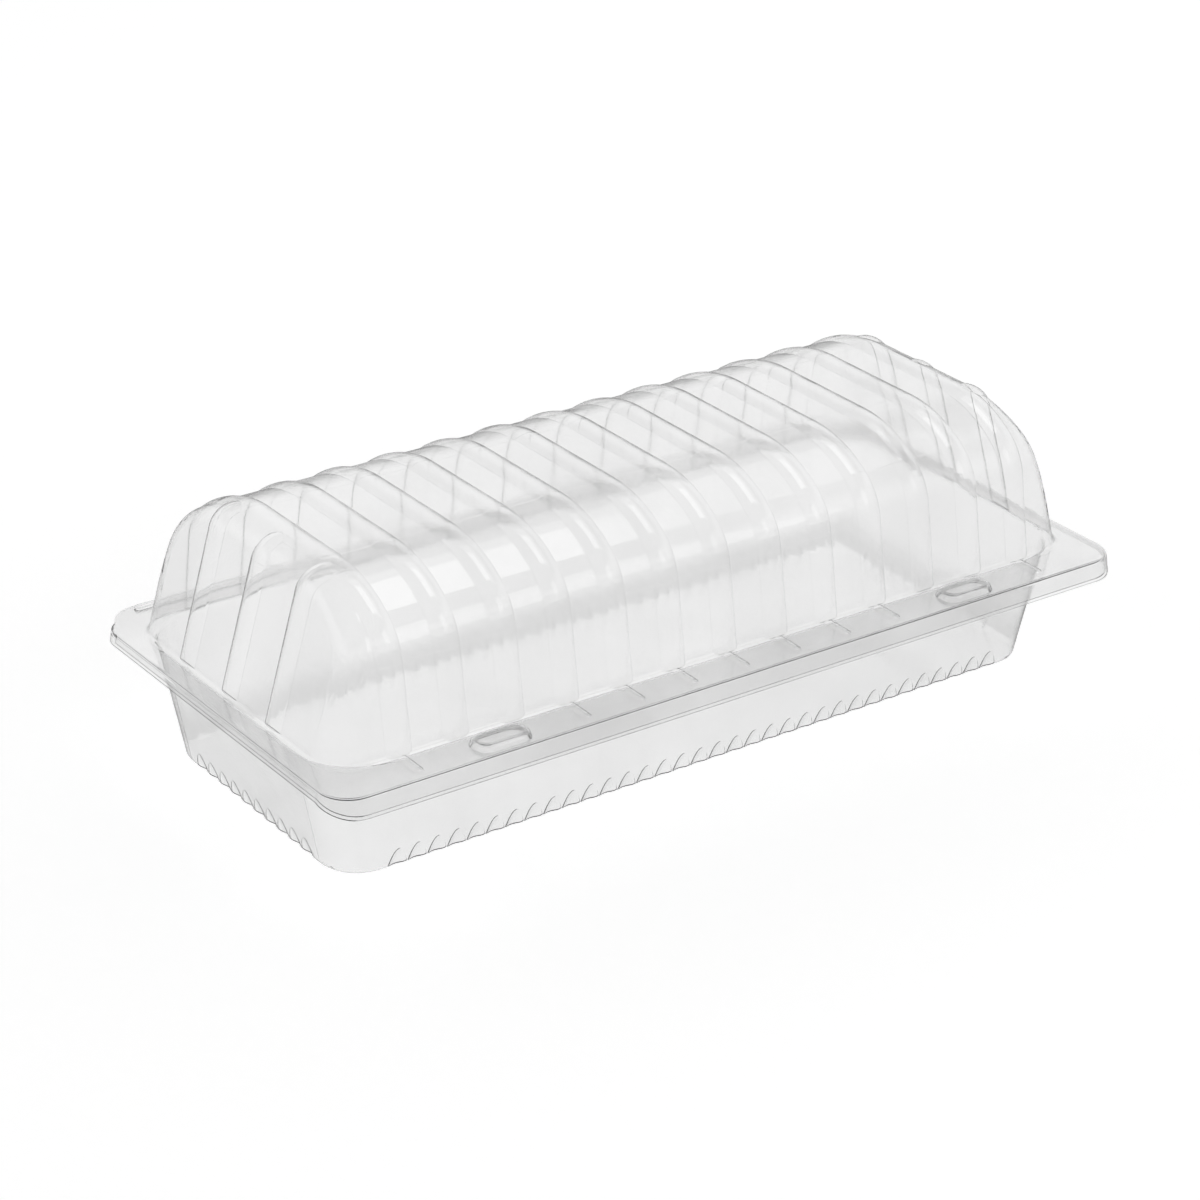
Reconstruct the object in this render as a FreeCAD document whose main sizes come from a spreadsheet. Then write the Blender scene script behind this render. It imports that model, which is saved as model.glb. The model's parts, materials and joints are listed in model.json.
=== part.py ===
import FreeCAD, Part
import math
import os

from FreeCAD import Vector
import Sketcher

# Clear hinged clamshell for a long cake: a fluted tray and a ribbed arched lid.
# Both halves come from one thin formed sheet, so each is a skin of even thickness.
# X runs along the pack, the locks are at the front (-Y) and the hinge at the back (+Y).
# The origin is the middle of the tray's underside, below the middle of the lid's arch.

SIZES = (
    ("sheet", 0.4, "thickness of the formed sheet"),
    ("nest_gap", 0.25, "clearance between the lid and the tray where they nest"),
    ("pack_length", 300.0, "length of the flange"),
    ("front_reach", 75.0, "middle to the front edge of the flange"),
    ("back_reach", 67.0, "middle to the back edge of the flange"),
    ("rim_corner", 11.0, "corner radius of the flange"),
    ("rim_edge", 1.2, "rounding where the flange turns down"),
    ("skirt_flare", 9.0, "lean of the skirt, degrees"),
    ("lid_skirt", 6.6, "height of the lid's skirt along the front"),
    ("tray_skirt", 5.2, "height of the tray's skirt along the front"),
    ("skirt_rise", 3.2, "how much lower both skirts are along the ends"),
    ("mouth_length", 284.0, "length of the opening under the lid's arch"),
    ("mouth_width", 119.0, "width of the opening under the lid's arch"),
    ("tray_depth", 41.0, "height of the tray"),
    ("tray_lean", 11.2, "lean of the tray's walls, degrees"),
    ("tray_corner", 21.0, "corner radius of the tray's opening"),
    ("fold_radius", 1.5, "rounding where the arch and the tray meet their flanges"),
    ("floor_edge", 2.0, "rounding round the tray's floor"),
    ("flute_pitch", 7.0, "spacing of the flutes"),
    ("flute_radius", 5.0, "radius of a flute"),
    ("flute_depth", 1.5, "depth of a flute at the floor"),
    ("flute_height", 6.5, "height at which a flute fades out"),
    ("long_flutes", 34.0, "flutes on each long side"),
    ("end_flutes", 10.0, "flutes on each end"),
    ("lid_rise", 49.0, "height of the arch above its flange"),
    ("wall_lean", 9.65, "lean of the arch's long walls, degrees"),
    ("end_lean", 16.0, "lean of the lid's end walls, degrees"),
    ("shoulder_radius", 20.0, "radius of the arch's shoulder"),
    ("crown_radius", 45.0, "radius between the shoulder and the flat crown"),
    ("crown_turn", 35.0, "angle that the crown's radius turns through, degrees"),
    ("end_edge", 8.0, "rounding between the arch and its end walls"),
    ("foot_corner", 14.0, "corner radius at the foot of the arch"),
    ("rib_pitch", 19.8, "spacing of the ribs over the arch"),
    ("rib_width", 9.0, "width of a rib"),
    ("rib_height", 1.1, "height of a rib above the arch"),
    ("arch_ribs", 13.0, "ribs over the arch"),
    ("end_rib_pitch", 25.5, "spacing of the upright ribs on an end wall"),
    ("end_ribs", 3.0, "ribs on each end wall"),
    ("end_rib_rise", 40.0, "height at which an end rib stops"),
    ("bead_width", 3.4, "width of the beads that carry the ribs over the front flange"),
    ("bead_height", 0.45, "height of those beads"),
    ("bead_margin", 2.6, "flat left between a bead and the edge of the flange"),
    ("middle_beads", 7.0, "flange beads between the two lock buttons"),
    ("lock_offset", 89.1, "middle of the pack to the middle of a lock button"),
    ("lock_length", 20.0, "length of a lock button"),
    ("lock_width", 10.8, "width of a lock button"),
    ("lock_corner", 5.0, "corner radius of a lock button"),
    ("lock_height", 2.2, "height of a lock button"),
    ("lock_lean", 25.0, "lean of a lock button's walls, degrees"),
    ("lock_edge", 1.8, "rounding round the top of a lock button"),
    ("lock_inset", 1.9, "flat left in front of a lock button"),
    ("hinge_reach", 4.5, "back edge of the flange to the crease of the hinge"),
    ("hinge_length", 292.0, "length of the hinge strip"),
    ("hinge_corner", 10.0, "corner radius of the hinge strip"),
    ("hinge_bead", 1.5, "radius of the bead along the hinge strip"),
    ("hinge_bead_height", 1.1, "height of that bead"),
    ("hinge_gap", 0.2, "each strip stops this far short of the crease"),
    ("skirt_free", 6.5, "the lid's skirt stops this far short of the flange's back edge"),
    ("least_edge", 0.1, "a smaller rounding than this is left sharp"),
    ("overrun", 1.0, "how far a hollow runs past the face that it opens"),
)

doc = FreeCAD.newDocument("clamshell_pack")
table = doc.addObject("Spreadsheet::Sheet", "Sizes")
for row, (alias, size, meaning) in enumerate(SIZES, start=1):
    table.set("A%d" % row, meaning)
    table.set("B%d" % row, str(size))
    table.setAlias("B%d" % row, alias)
doc.recompute()

# Levels: the tray's top face, the lid's lower face and the lid's top face
TRAY_TOP = "Sizes.tray_depth"
LID_UNDER = "(Sizes.tray_depth + Sizes.nest_gap)"
LID_TOP = "(Sizes.tray_depth + Sizes.nest_gap + Sizes.sheet)"

# Depth below the lid's top face of the four faces that the two nested sheets have
LID_OUTER = "(0)"
LID_INNER = "(Sizes.sheet)"
TRAY_OUTER = "(Sizes.sheet + Sizes.nest_gap)"
TRAY_INNER = "(2 * Sizes.sheet + Sizes.nest_gap)"


def value(expression):
    """The number that an expression on the sheet gives."""
    return float(table.evalExpression(expression.replace("Sizes.", "")))


def origin_plane(body, role):
    return next(f for f in body.Origin.OriginFeatures if f.Role == role)


def new_body(name):
    return doc.addObject("PartDesign::Body", name)


def new_sketch(body, name, role, level="0"):
    """A sketch on one of the body's origin planes, moved along its normal by level."""
    sketch = body.newObject("Sketcher::SketchObject", name)
    sketch.AttachmentSupport = (origin_plane(body, role), [""])
    sketch.MapMode = "FlatFace"
    sketch.setExpression("AttachmentOffset.Base.z", level)
    return sketch


def bind(sketch, kind, arguments, name, expression):
    """Adds a named dimension to the sketch and ties it to the sheet."""
    size = value(expression)
    if kind == "Angle":
        size = math.radians(size)
    index = sketch.addConstraint(Sketcher.Constraint(kind, *arguments, size))
    sketch.renameConstraint(index, name)
    sketch.setExpression("Constraints." + name, expression)


def add_arc(sketch, centre, radius, start, end):
    circle = Part.Circle(Vector(*centre, 0), Vector(0, 0, 1), radius)
    return sketch.addGeometry(Part.ArcOfCircle(circle, math.radians(start), math.radians(end)))


def add_line(sketch, start, end):
    return sketch.addGeometry(Part.LineSegment(Vector(*start, 0), Vector(*end, 0)))


def rounded_rectangle(sketch, reach, corner, centre_x="0"):
    """Draws a rounded rectangle. reach holds its half length, front and back distances."""
    half, front, back = (value(part) for part in reach)
    middle, radius = value(centre_x), value(corner)
    left, right, low, high = middle - half, middle + half, -front, back
    bottom = add_line(sketch, (left + radius, low), (right - radius, low))
    arc_a = add_arc(sketch, (right - radius, low + radius), radius, -90, 0)
    side = add_line(sketch, (right, low + radius), (right, high - radius))
    arc_b = add_arc(sketch, (right - radius, high - radius), radius, 0, 90)
    top = add_line(sketch, (right - radius, high), (left + radius, high))
    arc_c = add_arc(sketch, (left + radius, high - radius), radius, 90, 180)
    other = add_line(sketch, (left, high - radius), (left, low + radius))
    arc_d = add_arc(sketch, (left + radius, low + radius), radius, 180, 270)
    loop = (bottom, arc_a, side, arc_b, top, arc_c, other, arc_d)
    for first, second in zip(loop, loop[1:] + loop[:1]):
        sketch.addConstraint(Sketcher.Constraint("Tangent", first, 2, second, 1))
    for line in (bottom, top):
        sketch.addConstraint(Sketcher.Constraint("Horizontal", line))
    for line in (side, other):
        sketch.addConstraint(Sketcher.Constraint("Vertical", line))
    for arc in (arc_b, arc_c, arc_d):
        sketch.addConstraint(Sketcher.Constraint("Equal", arc_a, arc))
    bind(sketch, "Radius", (arc_a,), "corner", corner)
    bind(sketch, "DistanceX", (-1, 1, side, 1), "right", "%s + %s" % (centre_x, reach[0]))
    bind(sketch, "DistanceX", (other, 1, side, 1), "length", "2 * (%s)" % reach[0])
    bind(sketch, "DistanceY", (-1, 1, bottom, 1), "front", "-(%s)" % reach[1])
    bind(sketch, "DistanceY", (-1, 1, top, 1), "back", reach[2])


def drawn_pad(body, sketch, name, length, lean=None, kind="PartDesign::Pad", down=True):
    """Pads or pockets a sketch. A lean makes the walls spread (+) or close in (-)."""
    feature = body.newObject(kind, name)
    feature.Profile = sketch
    feature.setExpression("Length", length)
    feature.Reversed = down
    if lean is not None:
        feature.setExpression("TaperAngle", lean)
    return feature


def round_level(body, name, level, radius):
    """Rounds the body's edges that lie in the horizontal plane at that level."""
    if value(radius) < value("Sizes.least_edge"):
        return
    base = body.Tip
    feature = body.newObject("PartDesign::Fillet", name)
    feature.Base = (base, level_edges(base.Shape, value(level)))
    feature.setExpression("Radius", radius)
    doc.recompute()


def level_edges(shape, level):
    """Names of the edges that lie wholly in the horizontal plane at that level."""
    names = []
    for index, edge in enumerate(shape.Edges, start=1):
        box = edge.BoundBox
        if abs(box.ZMin - level) < 1e-4 and abs(box.ZMax - level) < 1e-4:
            names.append("Edge%d" % index)
    return names


def grow(skin, lean):
    """Sideways step of a leaning wall for a face that lies a skin below the lid's top face."""
    return "(%s * (1 - sin(%s)) / cos(%s))" % (skin, lean, lean)


def rim_form(name, skin, skirt):
    """The block under a flange: its top face, its skirt and its two raised lock buttons."""
    body = new_body(name)
    top = "(%s - %s)" % (LID_TOP, skin)
    step = grow(skin, "Sizes.skirt_flare")
    reach = ["Sizes.%s - %s" % (size, step) for size in ("pack_length / 2", "front_reach", "back_reach")]
    outline = new_sketch(body, name + "_outline", "XY_Plane", top)
    rounded_rectangle(outline, reach, "Sizes.rim_corner - %s" % step)
    drawn_pad(body, outline, name + "_block", skirt, "Sizes.skirt_flare")
    doc.recompute()
    round_level(body, name + "_edge", top, "Sizes.rim_edge - %s" % skin)
    wall = grow(skin, "Sizes.lock_lean")
    front = "Sizes.front_reach - Sizes.lock_inset"
    lock_reach = ("Sizes.lock_length / 2 - %s" % wall, "%s - %s" % (front, wall),
                  "Sizes.lock_width - (%s) - %s" % (front, wall))
    for side, sign in (("left", "-"), ("right", "")):
        lock = new_sketch(body, "%s_%s_lock" % (name, side), "XY_Plane", top)
        rounded_rectangle(lock, lock_reach, "Sizes.lock_corner - %s" % wall, sign + "Sizes.lock_offset")
        button = "%s_%s_button" % (name, side)
        drawn_pad(body, lock, button, "Sizes.lock_height", "-Sizes.lock_lean", down=False)
        doc.recompute()
    round_level(body, name + "_lock_edges", top + " + Sizes.lock_height", "Sizes.lock_edge - %s" % skin)
    return body


def arch_profile(sketch, skin, foot, closed):
    """The arch seen from the end, drawn a skin inside its outer face, down to the foot level."""
    lean, turn = value("Sizes.wall_lean"), value("Sizes.crown_turn")
    foot_half = "Sizes.mouth_width / 2 - %s / cos(Sizes.wall_lean)" % skin
    foot_half += " + (%s - %s) * tan(Sizes.wall_lean)" % (LID_UNDER, foot)
    top = "%s + Sizes.lid_rise - %s" % (LID_UNDER, skin)
    shoulder = value("Sizes.shoulder_radius - %s" % skin)
    crown = value("Sizes.crown_radius - %s" % skin)
    sin_lean, cos_lean = math.sin(math.radians(lean)), math.cos(math.radians(lean))
    sin_turn, cos_turn = math.sin(math.radians(turn)), math.cos(math.radians(turn))
    wall_top = value(top) - crown + (crown - shoulder) * cos_turn + shoulder * sin_lean
    flat = value(foot_half) - (wall_top - value(foot)) * math.tan(math.radians(lean))
    flat -= (crown - shoulder) * sin_turn + shoulder * cos_lean
    wall_half = flat + (crown - shoulder) * sin_turn + shoulder * cos_lean
    crown_level = value(top) - crown
    shoulder_level = crown_level + (crown - shoulder) * cos_turn
    shoulder_half = flat + (crown - shoulder) * sin_turn

    wall_r = add_line(sketch, (value(foot_half), value(foot)), (wall_half, wall_top))
    shoulder_r = add_arc(sketch, (shoulder_half, shoulder_level), shoulder, lean, 90 - turn)
    crown_r = add_arc(sketch, (flat, crown_level), crown, 90 - turn, 90)
    roof = add_line(sketch, (flat, value(top)), (-flat, value(top)))
    crown_l = add_arc(sketch, (-flat, crown_level), crown, 90, 90 + turn)
    shoulder_l = add_arc(sketch, (-shoulder_half, shoulder_level), shoulder, 90 + turn, 180 - lean)
    wall_l = add_line(sketch, (-wall_half, wall_top), (-value(foot_half), value(foot)))
    chain = (wall_r, shoulder_r, crown_r, roof, crown_l, shoulder_l, wall_l)
    for first, second in zip(chain, chain[1:]):
        sketch.addConstraint(Sketcher.Constraint("Tangent", first, 2, second, 1))
    if closed:
        base = add_line(sketch, (-value(foot_half), value(foot)), (value(foot_half), value(foot)))
        sketch.addConstraint(Sketcher.Constraint("Coincident", wall_l, 2, base, 1))
        sketch.addConstraint(Sketcher.Constraint("Coincident", base, 2, wall_r, 1))
    sketch.addConstraint(Sketcher.Constraint("Horizontal", roof))
    sketch.addConstraint(Sketcher.Constraint("Equal", crown_r, crown_l))
    sketch.addConstraint(Sketcher.Constraint("Equal", shoulder_r, shoulder_l))
    bind(sketch, "Radius", (crown_r,), "crown", "Sizes.crown_radius - %s" % skin)
    bind(sketch, "Radius", (shoulder_r,), "shoulder", "Sizes.shoulder_radius - %s" % skin)
    bind(sketch, "DistanceY", (-1, 1, roof, 1), "top", top)
    bind(sketch, "DistanceX", (-1, 1, wall_r, 1), "half_width", foot_half)
    bind(sketch, "DistanceX", (wall_l, 2, wall_r, 1), "width", "2 * (%s)" % foot_half)
    bind(sketch, "DistanceY", (-1, 1, wall_r, 1), "foot", foot)
    bind(sketch, "DistanceY", (-1, 1, wall_l, 2), "other_foot", foot)
    bind(sketch, "Angle", (wall_r,), "lean", "(90 + Sizes.wall_lean) * 1 deg")
    bind(sketch, "Angle", (wall_l,), "other_lean", "(0 - 90 - Sizes.wall_lean) * 1 deg")
    bind(sketch, "Angle", (crown_r,), "turn", "Sizes.crown_turn * 1 deg")
    bind(sketch, "Angle", (crown_l,), "other_turn", "Sizes.crown_turn * 1 deg")


def polygon(sketch, name, corners, sign=1):
    """Draws a closed polygon through corners that are given as expressions, mirrored if sign is -1."""
    points = [(sign * value(x), value(z)) for x, z in corners]
    lines = [add_line(sketch, start, end) for start, end in zip(points, points[1:] + points[:1])]
    for first, second in zip(lines, lines[1:] + lines[:1]):
        sketch.addConstraint(Sketcher.Constraint("Coincident", first, 2, second, 1))
    for number, (line, (x, z)) in enumerate(zip(lines, corners), start=1):
        bind(sketch, "DistanceX", (-1, 1, line, 1), "%s_%d" % (name, number), "%d * (%s)" % (sign, x))
        bind(sketch, "DistanceY", (-1, 1, line, 1), "%s_%d_level" % (name, number), z)


def end_cuts(sketch, skin, foot):
    """Two quadrilaterals, seen from the front, outside the leaning end walls."""
    lean = "tan(Sizes.end_lean)"
    near = "Sizes.mouth_length / 2 - %s / cos(Sizes.end_lean)" % skin
    low = "%s - Sizes.overrun" % foot
    high = "%s + Sizes.lid_rise + Sizes.overrun" % LID_UNDER
    low_half = "%s - (%s - %s) * %s" % (near, low, LID_UNDER, lean)
    high_half = "%s - (%s - %s) * %s" % (near, high, LID_UNDER, lean)
    far = "Sizes.pack_length / 2 + Sizes.lid_rise"
    corners = ((low_half, low), (far, low), (far, high), (high_half, high))
    polygon(sketch, "right", corners)
    polygon(sketch, "left", corners, sign=-1)


def arch_form(name, skin, foot):
    """The arch as a block with leaning ends, rounded more at its foot than at its top."""
    body = new_body(name + "_block")
    profile = new_sketch(body, name + "_profile", "YZ_Plane")
    arch_profile(profile, skin, foot, True)
    block = body.newObject("PartDesign::Pad", name + "_length")
    block.Profile = profile
    block.SideType = "Symmetric"
    block.setExpression("Length", "Sizes.pack_length")
    ends = new_sketch(body, name + "_ends", "XZ_Plane")
    end_cuts(ends, skin, foot)
    cut = body.newObject("PartDesign::Pocket", name + "_end_walls")
    cut.Profile = ends
    cut.SideType = "Symmetric"
    cut.setExpression("Length", "2 * Sizes.mouth_width")
    doc.recompute()
    rounded = doc.addObject("Part::Fillet", name)
    rounded.Base = body
    rounded.Edges = end_edges(body.Shape, value(foot), value("Sizes.foot_corner - %s" % skin),
                              value("Sizes.end_edge - %s" % skin))
    doc.recompute()
    return rounded


def end_edges(shape, foot, foot_radius, radius):
    """The edges round both end walls with their start and end radii, wider at the foot."""
    picked = []
    ends = [f for f in shape.Faces if abs(f.normalAt(0, 0).x) > 0.5]
    for index, edge in enumerate(shape.Edges, start=1):
        if not any(edge.isSame(other) for face in ends for other in face.Edges):
            continue
        on_foot = [abs(vertex.Point.z - foot) < 1e-4 for vertex in edge.Vertexes]
        if all(on_foot):
            continue
        first = edge.valueAt(edge.FirstParameter)
        start = foot_radius if abs(first.z - foot) < 1e-4 else radius
        last = foot_radius if any(on_foot) and start == radius else radius
        picked.append((index, start, last))
    return picked


def line_pattern(body, name, feature, axis, length, copies):
    """Repeats a feature along one of the body's axes."""
    pattern = body.newObject("PartDesign::LinearPattern", name)
    pattern.Originals = [feature]
    pattern.Direction = (origin_plane(body, axis), [""])
    pattern.setExpression("Length", length)
    pattern.setExpression("Occurrences", copies)
    body.Tip = pattern
    return pattern


def bead(body, name, role, level, start, centre, radius):
    """A round bar along a line in a sketch plane, flat at its start, with a ball at its end."""
    sketch = new_sketch(body, name + "_half", role, level)
    tail = Vector(value(start[0]), value(start[1]), 0)
    middle = Vector(value(centre[0]), value(centre[1]), 0)
    size = value(radius)
    along = (middle - tail).normalize()
    across = Vector(-along.y, along.x, 0)
    heading = math.degrees(math.atan2(along.y, along.x))
    tip = middle + along * size
    axis = add_line(sketch, (tail.x, tail.y), (tip.x, tip.y))
    ball = add_arc(sketch, (middle.x, middle.y), size, heading, heading + 90)
    edge = middle + across * size
    corner = tail + across * size
    side = add_line(sketch, (edge.x, edge.y), (corner.x, corner.y))
    flat = add_line(sketch, (corner.x, corner.y), (tail.x, tail.y))
    for first, second in ((axis, ball), (side, flat), (flat, axis)):
        sketch.addConstraint(Sketcher.Constraint("Coincident", first, 2, second, 1))
    sketch.addConstraint(Sketcher.Constraint("Tangent", ball, 2, side, 1))
    sketch.addConstraint(Sketcher.Constraint("Parallel", side, axis))
    sketch.addConstraint(Sketcher.Constraint("Perpendicular", flat, axis))
    sketch.addConstraint(Sketcher.Constraint("PointOnObject", ball, 3, axis))
    bind(sketch, "Radius", (ball,), "radius", radius)
    bind(sketch, "DistanceX", (-1, 1, axis, 1), "start_x", start[0])
    bind(sketch, "DistanceY", (-1, 1, axis, 1), "start_y", start[1])
    bind(sketch, "DistanceX", (-1, 1, ball, 3), "centre_x", centre[0])
    bind(sketch, "DistanceY", (-1, 1, ball, 3), "centre_y", centre[1])
    bar = body.newObject("PartDesign::Revolution", name)
    bar.Profile = sketch
    bar.ReferenceAxis = (sketch, ["Edge1"])
    bar.Angle = 360.0
    doc.recompute()
    return bar


RIB_RADIUS = "((Sizes.rib_width ^ 2 / 4 + Sizes.rib_height ^ 2) / (2 * Sizes.rib_height))"
BEAD_RADIUS = "((Sizes.bead_width ^ 2 / 4 + Sizes.bead_height ^ 2) / (2 * Sizes.bead_height))"


def arch_ribs(name, skin):
    """Round bars sunk into the arch, so that only the crown of each one stands proud."""
    body = new_body(name)
    sunk = "(%s - Sizes.rib_height)" % RIB_RADIUS
    foot = "(%s - Sizes.overrun)" % LID_UNDER
    run = "(Sizes.arch_ribs - 1) * Sizes.rib_pitch"
    path = new_sketch(body, name + "_path", "YZ_Plane", "0 - %s / 2" % run)
    arch_profile(path, sunk, foot, False)
    doc.recompute()
    section = body.newObject("Sketcher::SketchObject", name + "_section")
    section.AttachmentSupport = [(path, "Vertex1"), (path, "Edge1")]
    section.MapMode = "NormalToEdge"
    round_line = section.addGeometry(Part.Circle(Vector(0, 0, 0), Vector(0, 0, 1), 1))
    section.addConstraint(Sketcher.Constraint("Coincident", round_line, 3, -1, 1))
    bind(section, "Radius", (round_line,), "radius", "%s - %s" % (RIB_RADIUS, skin))
    doc.recompute()
    rib = body.newObject("PartDesign::AdditivePipe", name + "_rib")
    rib.Profile = section
    rib.Spine = (path, [])
    doc.recompute()
    line_pattern(body, name + "_row", rib, "X_Axis", run, "Sizes.arch_ribs")
    doc.recompute()
    return body


def end_ribs(name, skin):
    """Upright round bars sunk into the two end walls."""
    body = new_body(name)
    lean = "Sizes.end_lean"
    sunk = "(%s - Sizes.rib_height)" % RIB_RADIUS
    run = "(Sizes.end_ribs - 1) * Sizes.end_rib_pitch"
    low = "%s - Sizes.overrun" % LID_UNDER
    high = "%s + Sizes.end_rib_rise" % LID_UNDER
    half = "(Sizes.mouth_length / 2 - %s / cos(%s) - (%s - %s) * tan(%s))"
    for side, sign in (("right", 1), ("left", -1)):
        start = ("%d * %s" % (sign, half % (sunk, lean, low, LID_UNDER, lean)), low)
        centre = ("%d * %s" % (sign, half % (sunk, lean, high, LID_UNDER, lean)), high)
        rib = bead(body, "%s_%s" % (name, side), "XZ_Plane", "0 - %s / 2" % run, start, centre,
                   "%s - %s" % (RIB_RADIUS, skin))
        pattern = line_pattern(body, "%s_%s_row" % (name, side), rib, "Y_Axis", run, "Sizes.end_ribs")
        pattern.Reversed = True
        doc.recompute()
    return body


def flange_beads(name, skin):
    """Low beads that carry the arch's ribs on over the front flange, apart from the locks."""
    body = new_body(name)
    axis_level = "%s + Sizes.bead_height - %s" % (LID_TOP, BEAD_RADIUS)
    start = ("0 - Sizes.mouth_width / 2 + %s" % RIB_RADIUS, axis_level)
    centre = ("0 - Sizes.front_reach + Sizes.bead_margin + %s" % BEAD_RADIUS, axis_level)
    radius = "%s - %s" % (BEAD_RADIUS, skin)
    rows = (
        ("middle", "(Sizes.middle_beads - 1)", "Sizes.middle_beads"),
        ("outer", "(Sizes.arch_ribs - 1)", "2"),
    )
    for label, steps, copies in rows:
        run = "%s * Sizes.rib_pitch" % steps
        first = bead(body, "%s_%s" % (name, label), "YZ_Plane", "0 - %s / 2" % run, start, centre, radius)
        line_pattern(body, "%s_%s_row" % (name, label), first, "X_Axis", run, copies)
        doc.recompute()
    return body


def basin_form(name, out, top, floor):
    """The tapered basin. out is how far the face lies outside the basin's inner face."""
    body = new_body(name)
    step = "(%s / cos(Sizes.tray_lean) + (%s - %s) * tan(Sizes.tray_lean))" % (out, top, TRAY_TOP)
    half_width = "Sizes.mouth_width / 2 + %s" % step
    reach = ("Sizes.mouth_length / 2 + %s" % step, half_width, half_width)
    outline = new_sketch(body, name + "_outline", "XY_Plane", top)
    rounded_rectangle(outline, reach, "Sizes.tray_corner + %s" % step)
    drawn_pad(body, outline, name + "_block", "%s - %s" % (top, floor), "-Sizes.tray_lean")
    doc.recompute()
    round_level(body, name + "_edge", floor, "Sizes.floor_edge - Sizes.sheet + %s" % out)
    return body


def flutes(name, skin):
    """Round bars that lean out of the basin's walls, so that each flute fades out upwards."""
    body = new_body(name)
    tilt = "((Sizes.flute_height * tan(Sizes.tray_lean) + Sizes.flute_depth) / Sizes.flute_height)"
    slope = "(sqrt(1 + %s ^ 2))" % tilt
    drop = "(Sizes.sheet / cos(Sizes.tray_lean) - Sizes.tray_depth * tan(Sizes.tray_lean))"
    low = "0 - Sizes.flute_radius"
    high = "Sizes.flute_height + Sizes.flute_radius"
    radius = "Sizes.flute_radius + %s" % skin
    for side, size, role, axis, count in (
            ("long", "Sizes.mouth_width", "YZ_Plane", "X_Axis", "Sizes.long_flutes"),
            ("end", "Sizes.mouth_length", "XZ_Plane", "Y_Axis", "Sizes.end_flutes")):
        floor_half = "(%s / 2 + %s)" % (size, drop)
        bar = "(%s - Sizes.flute_depth + Sizes.flute_radius * %s + (%s) * %s)"
        run = "(%s - 1) * Sizes.flute_pitch" % count
        for label, sign in (("a", 1), ("b", -1)):
            start = ("%d * %s" % (sign, bar % (floor_half, slope, low, tilt)), low)
            centre = ("%d * %s" % (sign, bar % (floor_half, slope, high, tilt)), high)
            flute = "%s_%s_%s" % (name, side, label)
            first = bead(body, flute, role, "0 - %s / 2" % run, start, centre, radius)
            row = line_pattern(body, flute + "_row", first, axis, run, count)
            row.Reversed = axis == "Y_Axis"
            doc.recompute()
    return body


def open_back(name, half_length, front, top, height):
    """The space below a flange where its skirt leaves the hinge free."""
    body = new_body(name)
    outline = new_sketch(body, name + "_outline", "XY_Plane", top)
    back = "Sizes.back_reach + Sizes.hinge_reach + Sizes.overrun"
    rounded_rectangle(outline, (half_length, "0 - (%s)" % front, back), "Sizes.overrun")
    drawn_pad(body, outline, name + "_space", height)
    doc.recompute()
    return body


def hinge_strip(name, top, bead_level):
    """One half of the hinge: a flat strip behind the flange, and the bar that forms its bead."""
    strip = new_body(name)
    outline = new_sketch(strip, name + "_outline", "XY_Plane", top)
    back = "Sizes.back_reach + Sizes.hinge_reach - Sizes.hinge_gap"
    reach = ("Sizes.hinge_length / 2", "2 * Sizes.hinge_corner - Sizes.back_reach", back)
    rounded_rectangle(outline, reach, "Sizes.hinge_corner")
    drawn_pad(strip, outline, name + "_sheet", "Sizes.sheet")
    bars = []
    for tag, radius in (("outside", "Sizes.hinge_bead"), ("hollow", "Sizes.hinge_bead - Sizes.sheet")):
        bar = new_body("%s_bead_%s" % (name, tag))
        half = "Sizes.hinge_length / 2 - Sizes.hinge_corner - Sizes.hinge_bead"
        middle = "0 - (Sizes.back_reach + Sizes.hinge_reach / 2)"
        for side, sign in (("right", 1), ("left", -1)):
            centre = ("%d * (%s)" % (sign, half), bead_level)
            bead(bar, "%s_%s_%s" % (name, tag, side), "XZ_Plane", middle, ("0", bead_level), centre, radius)
        bars.append(bar)
    doc.recompute()
    return strip, bars[0], bars[1]


def skirt_trim(name, top, skirt):
    """The space below the skirts, which are full height only along the front."""
    body = new_body(name)
    outline = new_sketch(body, name + "_outline", "YZ_Plane")
    full = "%s - %s" % (top, skirt)
    corners = (("0 - Sizes.front_reach", full),
               ("0 - Sizes.front_reach + Sizes.rim_corner", full + " + Sizes.skirt_rise"),
               ("Sizes.back_reach + Sizes.hinge_reach", full + " + Sizes.skirt_rise"),
               ("Sizes.back_reach + Sizes.hinge_reach", full + " - Sizes.overrun"),
               ("0 - Sizes.front_reach", full + " - Sizes.overrun"))
    polygon(outline, "corner", corners)
    pad = drawn_pad(body, outline, name + "_space", "Sizes.pack_length + 2 * Sizes.lid_skirt")
    pad.SideType = "Symmetric"
    doc.recompute()
    return body


def joined(name, *pieces):
    result = doc.addObject("Part::MultiFuse", name)
    result.Shapes = list(pieces)
    return result


def less(name, base, tool):
    result = doc.addObject("Part::Cut", name)
    result.Base = base
    result.Tool = tool
    return result


def rounded_fold(name, base, level, radius):
    """Rounds the fold between a flange and what rises or hangs inside it, all round the opening."""
    doc.recompute()
    half_length = value("Sizes.mouth_length / 2 + Sizes.fold_radius")
    half_width = value("Sizes.mouth_width / 2 + Sizes.fold_radius")
    picked = []
    for number in (int(label[4:]) for label in level_edges(base.Shape, value(level))):
        box = base.Shape.Edges[number - 1].BoundBox
        if max(-box.XMin, box.XMax) < half_length and max(-box.YMin, box.YMax) < half_width:
            picked.append((number, value(radius), value(radius)))
    fold = doc.addObject("Part::Fillet", name)
    fold.Base = base
    fold.Edges = picked
    doc.recompute()
    return fold


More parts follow.
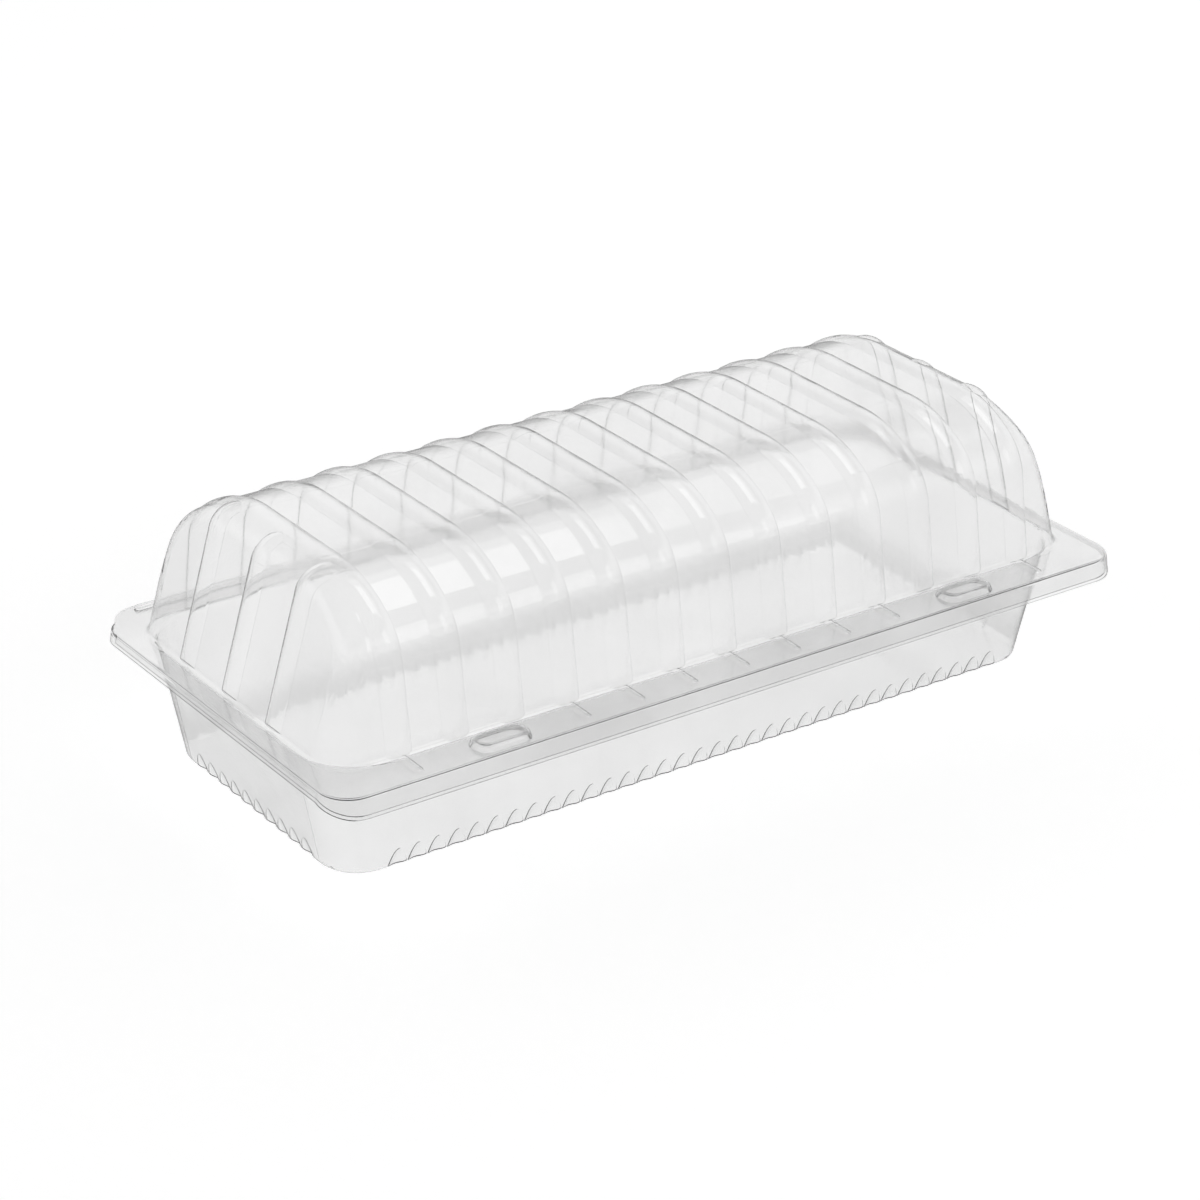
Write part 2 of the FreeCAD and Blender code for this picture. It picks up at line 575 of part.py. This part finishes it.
def make_lid():
    """The upper sheet: everything under its outer face, less everything under its inner face."""
    strip, bead_outside, bead_hollow = hinge_strip(
        "lid_hinge", LID_TOP, "%s + Sizes.hinge_bead_height - Sizes.hinge_bead" % LID_TOP)
    blank = joined("lid_blank", rim_form("lid_rim_outside", LID_OUTER, "Sizes.lid_skirt"),
                   arch_form("arch_outside", LID_OUTER, LID_UNDER))
    outside = joined("lid_outside", rounded_fold("lid_fold_outside", blank, LID_TOP, "Sizes.fold_radius"),
                     arch_ribs("ribs_outside", LID_OUTER), end_ribs("end_ribs_outside", LID_OUTER),
                     flange_beads("beads_outside", LID_OUTER), strip, bead_outside)
    back = open_back("lid_back_space", "Sizes.pack_length / 2 + Sizes.lid_skirt",
                     "Sizes.back_reach - Sizes.skirt_free", LID_UNDER, "Sizes.lid_skirt + Sizes.overrun")
    hollow_blank = joined("lid_hollow_blank", rim_form("lid_rim_hollow", LID_INNER, "Sizes.lid_skirt"),
                          arch_form("arch_hollow", LID_INNER, "(%s - Sizes.overrun)" % LID_UNDER))
    hollow = joined("lid_hollow", rounded_fold("lid_fold_hollow", hollow_blank, LID_UNDER,
                                               "Sizes.fold_radius + Sizes.sheet"),
                    arch_ribs("ribs_hollow", LID_INNER), end_ribs("end_ribs_hollow", LID_INNER),
                    flange_beads("beads_hollow", LID_INNER), back, bead_hollow,
                    skirt_trim("lid_skirt_trim", LID_TOP, "Sizes.lid_skirt"))
    return less("lid", outside, hollow)


def mouth_space(name):
    """A thin slab of air over the tray's opening, as wide as the rounding of its edge."""
    body = new_body(name)
    outline = new_sketch(body, name + "_outline", "XY_Plane", TRAY_TOP)
    half_length = "Sizes.mouth_length / 2 + Sizes.fold_radius"
    half_width = "Sizes.mouth_width / 2 + Sizes.fold_radius"
    reach = [half_length, half_width, half_width]
    rounded_rectangle(outline, reach, "Sizes.tray_corner + Sizes.fold_radius")
    drawn_pad(body, outline, name + "_slab", "Sizes.overrun", down=False)
    doc.recompute()
    return body


def make_tray():
    """The lower sheet: a flange with a nested skirt, and the fluted basin hung from it."""
    strip, bead_outside, bead_hollow = hinge_strip(
        "tray_hinge", TRAY_TOP, "%s - Sizes.sheet - Sizes.hinge_bead_height + Sizes.hinge_bead" % TRAY_TOP)
    back = open_back("tray_back_space", "Sizes.pack_length / 2", "Sizes.back_reach - Sizes.rim_corner",
                     "%s - Sizes.sheet" % TRAY_TOP, "Sizes.tray_skirt + Sizes.overrun")
    rim_hollow = joined("tray_rim_space", rim_form("tray_rim_hollow", TRAY_INNER, "Sizes.tray_skirt"), back,
                        skirt_trim("tray_skirt_trim", TRAY_TOP, "Sizes.tray_skirt"))
    rim = less("tray_rim", rim_form("tray_rim_outside", TRAY_OUTER, "Sizes.tray_skirt"), rim_hollow)
    blank = joined("tray_blank", rim,
                   basin_form("basin_outside", "Sizes.sheet", "(%s - Sizes.sheet / 2)" % TRAY_TOP, "0"))
    folded = rounded_fold("tray_fold_outside", blank, "%s - Sizes.sheet" % TRAY_TOP,
                          "Sizes.fold_radius - Sizes.sheet")
    basin = less("basin_fluted", folded, flutes("flutes_outside", "0"))
    mouth = joined("mouth_blank", mouth_space("mouth_space"),
                   basin_form("basin_cavity", "0", "(%s + Sizes.overrun)" % TRAY_TOP, "Sizes.sheet"))
    cavity = less("cavity_fluted", rounded_fold("mouth_fold", mouth, TRAY_TOP, "Sizes.fold_radius"),
                  flutes("flutes_hollow", "Sizes.sheet"))
    bead_top = "%s + Sizes.hinge_bead + Sizes.overrun" % TRAY_TOP
    over_bead = open_back("tray_bead_top", "Sizes.hinge_length / 2", "Sizes.back_reach",
                          bead_top, "Sizes.hinge_bead + Sizes.overrun")
    outside = joined("tray_outside", basin, strip, bead_outside)
    return less("tray", outside, joined("tray_hollow", cavity, bead_hollow, over_bead))


def check_document():
    """Stops the build if any object failed."""
    for item in doc.Objects:
        if "Invalid" in item.State or "Error" in item.State:
            raise RuntimeError("%s failed: %s" % (item.Name, item.State))


def export(node):
    shape = node.Shape
    if shape.isNull() or not shape.isValid() or len(shape.Solids) != 1:
        raise RuntimeError("%s is not one valid solid" % node.Label)
    shape.exportStep("parts/%s.step" % node.Label)


os.makedirs("parts", exist_ok=True)
pieces = [make_tray(), make_lid()]
doc.recompute()
check_document()
for piece in pieces:
    export(piece)
    print(piece.Label, "volume", round(piece.Shape.Volume), "faces", len(piece.Shape.Faces))
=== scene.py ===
"""Looks of a long clear clamshell pack: its formed sheets, the white studio and the camera.

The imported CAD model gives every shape, so this script adds finishes, light and the view.
Lengths are in metres and angles in degrees, and colours are sRGB hex until they reach a node.
"""

import json
import logging
import math
from dataclasses import dataclass
from enum import Enum

import bpy
from mathutils import Matrix, Vector

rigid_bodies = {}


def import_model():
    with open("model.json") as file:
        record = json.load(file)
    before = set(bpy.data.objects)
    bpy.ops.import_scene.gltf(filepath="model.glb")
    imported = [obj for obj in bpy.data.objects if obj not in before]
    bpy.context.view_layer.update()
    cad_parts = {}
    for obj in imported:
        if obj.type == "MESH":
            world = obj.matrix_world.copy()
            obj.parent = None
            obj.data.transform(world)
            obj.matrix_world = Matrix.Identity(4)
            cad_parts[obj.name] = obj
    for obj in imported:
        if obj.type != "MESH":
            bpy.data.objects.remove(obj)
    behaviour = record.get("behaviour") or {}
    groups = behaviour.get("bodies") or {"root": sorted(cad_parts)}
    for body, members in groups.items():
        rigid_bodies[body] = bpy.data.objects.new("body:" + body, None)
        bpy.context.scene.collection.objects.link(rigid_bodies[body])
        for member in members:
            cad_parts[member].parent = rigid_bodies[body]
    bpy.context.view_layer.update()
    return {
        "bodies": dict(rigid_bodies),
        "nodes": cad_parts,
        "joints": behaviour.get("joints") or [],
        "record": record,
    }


log = logging.getLogger("clamshell")

WHITE = "#FFFFFF"

Colour = tuple[float, float, float, float]
Socket = bpy.types.NodeSocket
Tree = bpy.types.NodeTree


class Shader(Enum):
    """Shader node types used here."""

    PRINCIPLED = "ShaderNodeBsdfPrincipled"
    DIFFUSE = "ShaderNodeBsdfDiffuse"
    TRANSPARENT = "ShaderNodeBsdfTransparent"
    EMISSION = "ShaderNodeEmission"
    BACKGROUND = "ShaderNodeBackground"
    MIX = "ShaderNodeMixShader"
    ADD = "ShaderNodeAddShader"
    OUTPUT = "ShaderNodeOutputMaterial"
    WORLD_OUTPUT = "ShaderNodeOutputWorld"


class Helper(Enum):
    """Texture and maths node types used here."""

    COORDINATES = "ShaderNodeTexCoord"
    NOISE = "ShaderNodeTexNoise"
    RANGE = "ShaderNodeMapRange"
    RAMP = "ShaderNodeValToRGB"
    BUMP = "ShaderNodeBump"
    LIGHT_PATH = "ShaderNodeLightPath"
    MATH = "ShaderNodeMath"
    SEPARATE = "ShaderNodeSeparateXYZ"


def linear(colour: str) -> Colour:
    """Converts an sRGB hex colour to the linear values that a node takes.

    Args:
        colour: Six hex digits after a hash sign.

    Returns:
        Linear red, green and blue, and an alpha of 1.
    """
    parts = [int(colour[i:i + 2], 16) / 255 for i in (1, 3, 5)]
    red, green, blue = (p / 12.92 if p <= 0.04045 else ((p + 0.055) / 1.055) ** 2.4 for p in parts)
    return red, green, blue, 1.0


def grey(level: float) -> Colour:
    """A linear grey, where 0 is black and 1 is white."""
    return level, level, level, 1.0


def add_node(
    tree: Tree,
    kind: Shader | Helper,
    links: dict[str | int, Socket] | None = None,
    values: dict[str | int, object] | None = None,
    **settings: object,
) -> bpy.types.Node:
    """Adds one node with its settings, socket values and incoming links.

    Args:
        tree: The node tree that takes the node.
        kind: The node's type.
        links: Sockets that feed this node, by the name or number of its input.
        values: Fixed values, by the name or number of an input.
        settings: Properties of the node itself.

    Returns:
        The new node.
    """
    node = tree.nodes.new(kind.value)
    for key, setting in settings.items():
        setattr(node, key, setting)
    for key, number in (values or {}).items():
        node.inputs[key].default_value = number
    for key, socket in (links or {}).items():
        tree.links.new(socket, node.inputs[key])
    return node


def maths(tree: Tree, operation: str, first: Socket, second: Socket | float = 0.0) -> Socket:
    """Adds one step of arithmetic.

    Args:
        tree: The node tree.
        operation: The Math node's operation.
        first: Its first number.
        second: Its second number, from a socket or fixed.

    Returns:
        The result's socket.
    """
    if isinstance(second, Socket):
        node = add_node(tree, Helper.MATH, {0: first, 1: second}, operation=operation)
    else:
        node = add_node(tree, Helper.MATH, {0: first}, {1: second}, operation=operation)
    return node.outputs["Value"]


def rescale(tree: Tree, number: Socket, before: tuple[float, float], after: tuple[float, float]) -> Socket:
    """Moves a number from one range to another, and stops it at the ends.

    Args:
        tree: The node tree.
        number: The number.
        before: Its range.
        after: The new range.

    Returns:
        The result's socket.
    """
    values = {"From Min": before[0], "From Max": before[1], "To Min": after[0], "To Max": after[1]}
    return add_node(tree, Helper.RANGE, {"Value": number}, values).outputs["Result"]


def ramp(tree: Tree, number: Socket, stops: list[tuple[float, Colour]]) -> Socket:
    """Turns a number into a colour.

    Args:
        tree: The node tree.
        number: The number, from 0 to 1.
        stops: Place and colour of each stop, in rising order.

    Returns:
        The colour's socket.
    """
    node = add_node(tree, Helper.RAMP, {"Fac": number})
    elements = node.color_ramp.elements
    for element, (place, colour) in zip((elements[0], elements[1]), (stops[0], stops[-1])):
        element.position = place
        element.color = colour
    for place, colour in stops[1:-1]:
        elements.new(place).color = colour
    return node.outputs["Color"]


def choose(tree: Tree, test: Socket, no: Socket, yes: Socket) -> Socket:
    """Shows one shader where the test is 0 and the other where it is 1.

    Args:
        tree: The node tree.
        test: The test.
        no: Shader for 0.
        yes: Shader for 1.

    Returns:
        The mixed shader's socket.
    """
    return add_node(tree, Shader.MIX, {"Fac": test, 1: no, 2: yes}).outputs["Shader"]


def emission(tree: Tree, strength: Socket | float) -> Socket:
    """Adds a white glow.

    Args:
        tree: The node tree.
        strength: How bright, where 1 is white.

    Returns:
        The shader's socket.
    """
    if isinstance(strength, Socket):
        node = add_node(tree, Shader.EMISSION, {"Strength": strength}, {"Color": linear(WHITE)})
    else:
        node = add_node(tree, Shader.EMISSION, values={"Color": linear(WHITE), "Strength": strength})
    return node.outputs["Emission"]


def new_tree(owner: bpy.types.Material | bpy.types.World) -> Tree:
    """Empties the node tree of a material or world.

    Args:
        owner: The material or world.

    Returns:
        Its node tree, without a node.
    """
    owner.use_nodes = True
    owner.node_tree.nodes.clear()
    return owner.node_tree


@dataclass(frozen=True)
class ClearPet:
    """Clear PET sheet, thermoformed.

    To the eye it is nearly colourless with a faint cool grey, and glossy on both sides.
    Where the sheet was stretched over the mould it is a little wavy, which blurs what is
    behind it and breaks up the highlights. The press leaves it very slightly hazy.
    """

    name: str
    tint: str = "#F9F9F9"
    haze_tint: str = "#F4F4F4"
    index: float = 1.575
    gloss: tuple[float, float] = (0.045, 0.085)
    wave_size: float = 0.016
    wave_height: float = 0.0001
    grain_size: float = 0.0022
    grain_height: float = 0.000004
    haze_size: float = 0.045

    def build(self) -> bpy.types.Material:
        """Makes the material: tinted glass-like sheet that lets the lamps' light through.

        Returns:
            The material, ready for a slot.
        """
        material = bpy.data.materials.new(self.name)
        tree = new_tree(material)
        place = add_node(tree, Helper.COORDINATES).outputs["Object"]
        haze = self.noise(tree, place, self.haze_size, 3.0)
        roughness = rescale(tree, haze, (0.35, 0.65), self.gloss)
        colour = ramp(tree, haze, [(0.3, linear(self.tint)), (0.75, linear(self.haze_tint))])
        waves = self.bump(tree, self.noise(tree, place, self.wave_size, 1.0), self.wave_height)
        surface = self.bump(tree, self.noise(tree, place, self.grain_size, 2.0), self.grain_height, waves)
        sheet = add_node(tree, Shader.PRINCIPLED, {
            "Base Color": colour,
            "Roughness": roughness,
            "Normal": surface,
        }, {"IOR": self.index, "Transmission Weight": 1.0})
        open_to_light = add_node(tree, Shader.TRANSPARENT, values={"Color": linear(self.tint)})
        shadow = add_node(tree, Helper.LIGHT_PATH).outputs["Is Shadow Ray"]
        shown = choose(tree, shadow, sheet.outputs["BSDF"], open_to_light.outputs["BSDF"])
        add_node(tree, Shader.OUTPUT, {"Surface": shown})
        return material

    @staticmethod
    def noise(tree: Tree, place: Socket, size: float, detail: float) -> Socket:
        """Adds a noise pattern whose blotches are about as wide as the given size.

        Args:
            tree: The node tree.
            place: Coordinates in metres.
            size: Width of one blotch, in metres.
            detail: Octaves of finer pattern on top.

        Returns:
            The noise value socket.
        """
        node = add_node(tree, Helper.NOISE, {"Vector": place}, {"Scale": 1 / size, "Detail": detail})
        return node.outputs["Fac"]

    @staticmethod
    def bump(tree: Tree, height: Socket, distance: float, under: Socket | None = None) -> Socket:
        """Turns a height pattern into a normal.

        Args:
            tree: The node tree.
            height: The pattern, from 0 to 1.
            distance: Height of the pattern in metres.
            under: A normal that this one is laid over.

        Returns:
            The normal socket.
        """
        links = {"Height": height}
        if under is not None:
            links["Normal"] = under
        return add_node(tree, Helper.BUMP, links, {"Distance": distance}).outputs["Normal"]


@dataclass
class FormedSheet:
    """One half of the pack: a thin formed sheet that comes from the frame as it is."""

    node: str
    slot: str
    finish: ClearPet

    def dress(self, frame: dict) -> bpy.types.Object:
        """Gives the frame's node its finish.


        Returns:
            The dressed object.
        """
        piece = frame["nodes"][self.node]
        piece.data.materials.clear()
        piece.data.materials.append(self.finish.build())
        log.info("%s: %d faces, finish %s", self.node, len(piece.data.polygons), self.finish.name)
        return piece


@dataclass(frozen=True)
class Softbox:
    """A rectangular soft lamp that points at the pack."""

    name: str
    azimuth: float
    elevation: float
    distance: float
    width: float
    height: float
    power: float

    def build(self, aim: Vector) -> bpy.types.Object:
        """Adds the lamp.

        Args:
            aim: The point that it faces.

        Returns:
            The lamp object.
        """
        lamp = bpy.data.lights.new(self.name, "AREA")
        lamp.shape = "RECTANGLE"
        lamp.size = self.width
        lamp.size_y = self.height
        lamp.energy = self.power
        carrier = bpy.data.objects.new(self.name, lamp)
        bpy.context.scene.collection.objects.link(carrier)
        away = back_direction(self.azimuth, self.elevation)
        carrier.location = aim + away * self.distance
        carrier.rotation_euler = away.to_track_quat("Z", "Y").to_euler()
        return carrier


def back_direction(azimuth: float, elevation: float) -> Vector:
    """Unit vector from the pack towards a viewer.

    Args:
        azimuth: 0 is in front of the pack (-Y) and 90 is to its right (+X), in degrees.
        elevation: Angle above the horizon, in degrees.

    Returns:
        The direction.
    """
    turn, rise = math.radians(azimuth), math.radians(elevation)
    return Vector((math.sin(turn) * math.cos(rise), -math.cos(turn) * math.cos(rise), math.sin(rise)))


@dataclass(frozen=True)
class PhotoCamera:
    """The photograph's camera, fitted to the straight edges of the flange, arch and floor."""

    azimuth: float = -35.554
    elevation: float = 25.964
    roll: float = 0.652
    distance: float = 1.1409
    moved_right: float = -0.004461
    moved_up: float = -0.005385
    flange_level: float = 0.04165
    focal_length: float = 106.8
    sensor: float = 36.0

    def build(self) -> bpy.types.Object:
        """Adds the camera and makes it the scene's own.

        Returns:
            The camera object.
        """
        data = bpy.data.cameras.new("photo_camera")
        data.lens = self.focal_length
        data.sensor_width = self.sensor
        camera = bpy.data.objects.new("photo_camera", data)
        bpy.context.scene.collection.objects.link(camera)
        back = back_direction(self.azimuth, self.elevation)
        turn, tilt = math.radians(self.azimuth), math.radians(self.roll)
        level = Vector((math.cos(turn), math.sin(turn), 0.0))
        upright = back.cross(level)
        right = level * math.cos(tilt) + upright * math.sin(tilt)
        up = upright * math.cos(tilt) - level * math.sin(tilt)
        place = Vector((0.0, 0.0, self.flange_level)) + back * self.distance
        place += right * self.moved_right + up * self.moved_up
        axes = Matrix((right, up, back)).transposed().to_4x4()
        camera.matrix_world = Matrix.Translation(place) @ axes
        bpy.context.scene.camera = camera
        return camera


@dataclass(frozen=True)
class PaintedContactShadow:
    """Painted contact shadow: a soft dark band painted on the paper round the tray's foot, seen through the
    sheets.

    It is darkest along the foot and fades outwards. Each flute cuts a small painted point of light into it.
    The brightness fields run from 0, black, to 1, white.
    """

    foot_half_length: float = 0.1339
    foot_half_width: float = 0.0514
    flute_pitch: float = 0.007
    point_length: float = 0.004
    reach: float = 0.024
    darkest: float = 0.80
    halfway: float = 0.86

    def level(self, tree: Tree, place: Socket) -> Socket:
        """Works out how bright the paper is under the painted contact shadow.

        Args:
            tree: The paper's node tree.
            place: Coordinates in metres, from the middle of the foot.

        Returns:
            The brightness, where 1 is white.
        """
        along = add_node(tree, Helper.SEPARATE, {"Vector": place}).outputs
        past_end = maths(tree, "SUBTRACT", maths(tree, "ABSOLUTE", along["X"]), self.foot_half_length)
        past_side = maths(tree, "SUBTRACT", maths(tree, "ABSOLUTE", along["Y"]), self.foot_half_width)
        distance = maths(tree, "MAXIMUM", past_end, past_side)
        half_pitch = self.flute_pitch / 2
        swing = rescale(tree, maths(tree, "PINGPONG", along["X"], half_pitch), (0.0, half_pitch), (0.0, 1.0))
        point = maths(tree, "MULTIPLY", maths(tree, "POWER", swing, 2.0), self.point_length)
        outwards = rescale(tree, maths(tree, "SUBTRACT", distance, point), (0.0, self.reach), (0.04, 1.0))
        # Painted shadow levels: white under the foot, darkest just outside it, fading back to white at the
        # reach.
        return ramp(tree, outwards, [
            (0.04, grey(1.0)), (0.08, grey(self.darkest)), (0.5, grey(self.halfway)), (1.0, grey(1.0))])


@dataclass(frozen=True)
class WhitePaper:
    """The matt white paper of the sweep.

    The camera sees fine paper with the pack's faint shadow, lifted to white. Through the sheets it shows
    as the plain white background with a painted contact shadow round the tray's foot, and their gloss
    mirrors it as a grey one.
    """

    name: str = "white_sweep_paper"
    dark_fibre: str = "#F3F3F3"
    pale_fibre: str = "#F5F5F5"
    fibre_size: float = 0.004
    lift: float = 0.66
    mirrored: float = 0.4
    painted_shadow: PaintedContactShadow = PaintedContactShadow()

    def build(self) -> bpy.types.Material:
        """Makes the material.

        Returns:
            The material, ready for a slot.
        """
        material = bpy.data.materials.new(self.name)
        tree = new_tree(material)
        place = add_node(tree, Helper.COORDINATES).outputs["Object"]
        fibre = add_node(tree, Helper.NOISE, {"Vector": place}, {"Scale": 1 / self.fibre_size, "Detail": 2.0})
        stops = [(0.0, linear(self.dark_fibre)), (1.0, linear(self.pale_fibre))]
        colour = ramp(tree, fibre.outputs["Fac"], stops)
        matt = add_node(tree, Shader.DIFFUSE, {"Color": colour}).outputs["BSDF"]
        glow = add_node(tree, Shader.EMISSION, {"Color": colour}, {"Strength": self.lift}).outputs["Emission"]
        lifted = add_node(tree, Shader.ADD, {0: matt, 1: glow}).outputs["Shader"]
        path = add_node(tree, Helper.LIGHT_PATH).outputs
        seen = choose(tree, path["Is Camera Ray"], matt, lifted)
        in_gloss = choose(tree, path["Is Glossy Ray"], seen, emission(tree, self.mirrored))
        # Seen through the sheets the paper glows white, with the contact shadow painted into its glow.
        behind_with_painted_shadow = emission(tree, self.painted_shadow.level(tree, place))
        shown = choose(tree, path["Is Transmission Ray"], in_gloss, behind_with_painted_shadow)
        add_node(tree, Shader.OUTPUT, {"Surface": shown})
        return material


@dataclass
class Studio:
    """A white sweep without end, and the room that the glossy sheets mirror."""

    floor_size: float = 6.0
    floor_drop: float = 0.0002
    paper: WhitePaper = WhitePaper()
    aim: tuple[float, float, float] = (0.0, 0.0, 0.05)
    room: tuple[tuple[float, float], ...] = ((0.0, 0.3), (0.3, 0.85), (0.5, 0.85), (0.68, 0.08), (1.0, 0.3))
    lamps: tuple[Softbox, ...] = (
        Softbox("high_softbox", 92.0, 66.5, 1.5, 0.70, 0.42, 0.65),
        Softbox("high_softbox_rim", 96.0, 63.0, 1.6, 1.10, 0.75, 1.1),
        Softbox("front_softbox", 30.0, 30.0, 1.5, 0.45, 0.60, 0.45),
    )

    def build(self) -> None:
        """Adds the floor, the world and the lamps."""
        self.add_floor()
        self.light_world()
        for lamp in self.lamps:
            lamp.build(Vector(self.aim))
        bpy.context.scene.view_settings.view_transform = "Standard"
        self.allow_bounces()

    @staticmethod
    def allow_bounces() -> None:
        """Lets light cross many sheet faces behind each other, and keeps the other paths short."""
        cycles = bpy.context.scene.cycles
        cycles.max_bounces = 16
        cycles.transmission_bounces = 16
        cycles.transparent_max_bounces = 24
        cycles.glossy_bounces = 3
        cycles.diffuse_bounces = 1

    def add_floor(self) -> bpy.types.Object:
        """Adds the white floor just under the pack.

        Returns:
            The floor object.
        """
        half = self.floor_size / 2
        mesh = bpy.data.meshes.new("floor")
        corners = [(-half, -half, 0), (half, -half, 0), (half, half, 0), (-half, half, 0)]
        mesh.from_pydata(corners, [], [(0, 1, 2, 3)])
        floor = bpy.data.objects.new("floor", mesh)
        bpy.context.scene.collection.objects.link(floor)
        floor.location.z = -self.floor_drop
        mesh.materials.append(self.paper.build())
        return floor

    def light_world(self) -> None:
        """Shows a white backdrop to the camera and through the sheets.

        The pack's light and the gloss come from a room with pale walls and a darker ceiling.
        """
        world = bpy.data.worlds.new("studio")
        bpy.context.scene.world = world
        tree = new_tree(world)
        direction = add_node(tree, Helper.COORDINATES).outputs["Generated"]
        height = add_node(tree, Helper.SEPARATE, {"Vector": direction}).outputs["Z"]
        walls = ramp(tree, height, [(place, grey(level)) for place, level in self.room])
        room = add_node(tree, Shader.BACKGROUND, {"Color": walls}, {"Strength": 1.0})
        white = add_node(tree, Shader.BACKGROUND, values={"Color": linear(WHITE), "Strength": 1.0})
        path = add_node(tree, Helper.LIGHT_PATH).outputs
        seen = maths(tree, "MAXIMUM", path["Is Camera Ray"], path["Is Transmission Ray"])
        shown = choose(tree, seen, room.outputs["Background"], white.outputs["Background"])
        add_node(tree, Shader.WORLD_OUTPUT, {"Surface": shown})


def main() -> None:
    """Builds the looks piece by piece, then the studio and the camera."""
    logging.basicConfig(level=logging.INFO, format="%(name)s: %(message)s")
    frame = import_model()
    for sheet in (
        FormedSheet("tray", "tray_sheet", ClearPet("clear_pet_thermoformed_tray")),
        FormedSheet("lid", "lid_sheet", ClearPet("clear_pet_thermoformed_lid")),
    ):
        sheet.dress(frame)
    Studio().build()
    log.info("studio: floor, world and lamps")
    PhotoCamera().build()
    log.info("camera: placed as in the photograph")


if __name__ == "__main__":
    main()
